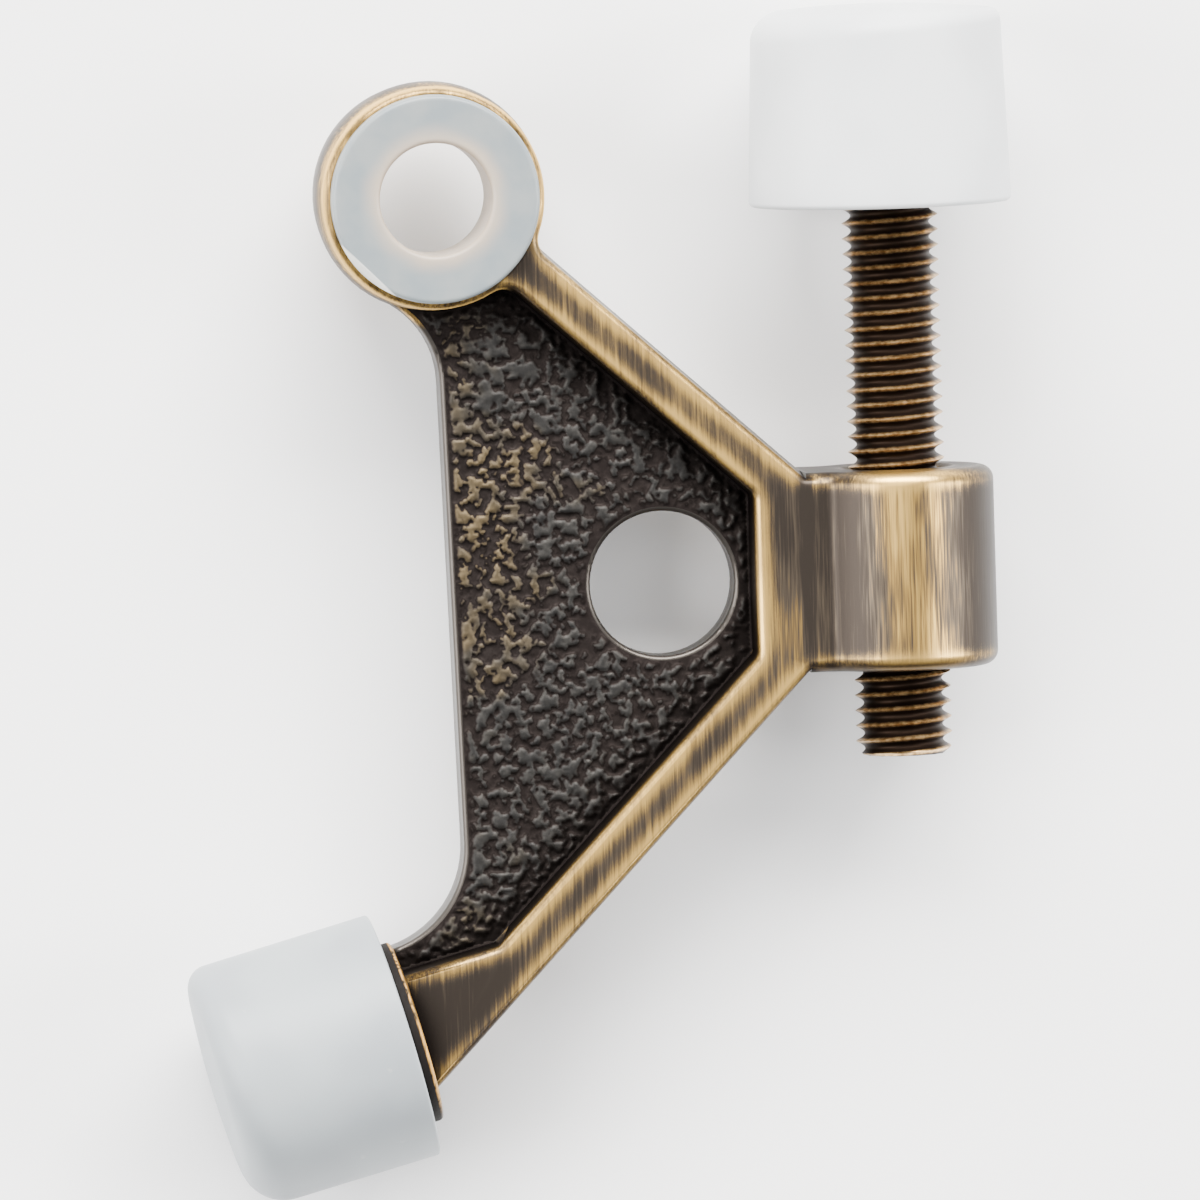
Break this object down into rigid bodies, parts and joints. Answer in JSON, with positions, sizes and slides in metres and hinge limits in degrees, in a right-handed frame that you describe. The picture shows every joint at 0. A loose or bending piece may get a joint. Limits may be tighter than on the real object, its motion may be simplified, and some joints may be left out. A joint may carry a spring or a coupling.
{
  "type": "hinge-pin door stop",
  "caption": "Hinge-pin door stop: a cast bracket with a bushed eye for the hinge pin, a fixed rubber bumper and a screw-adjusted rubber bumper that limit how far a door swings.",
  "frame": {"origin": "on the hinge-pin bore's axis at the casting's mid-height", "axes": "+Z along the hinge-pin bore, out of the bushing's flange; +Y along the adjusting screw towards its bumper; +X from the bore towards the screw"},
  "size_m": [0.0539, 0.075, 0.0166],
  "materials": {
    "antique_brass_casting": "aged and brushed",
    "antique_brass_screw": "aged, dark in the roots",
    "natural_nylon": "moulded, waxy",
    "white_rubber": "moulded, satin"
  },
  "bodies": {
    "frame": {"bracket": "antique_brass_casting", "bushing": "natural_nylon", "fixed_bumper": "white_rubber"},
    "bumper": {"adjustable_bumper": "white_rubber"},
    "screw": {"adjusting_screw": "antique_brass_screw"}
  },
  "joints": [
    {"name": "bumper_travel", "type": "slide", "parent": "frame", "child": "bumper", "axis": [0, 1, 0], "range_m": [-0.0139, 0.012]},
    {"name": "screw_turn", "type": "hinge", "parent": "bumper", "child": "screw", "pos_m": [0.02936, 0, 0], "axis": [0, 1, 0], "range_deg": [-5170, 4465]}
  ],
  "couplings": [
    {"joint": "screw_turn", "follows": "bumper_travel", "rad_per_m": 6484.2}
  ]
}
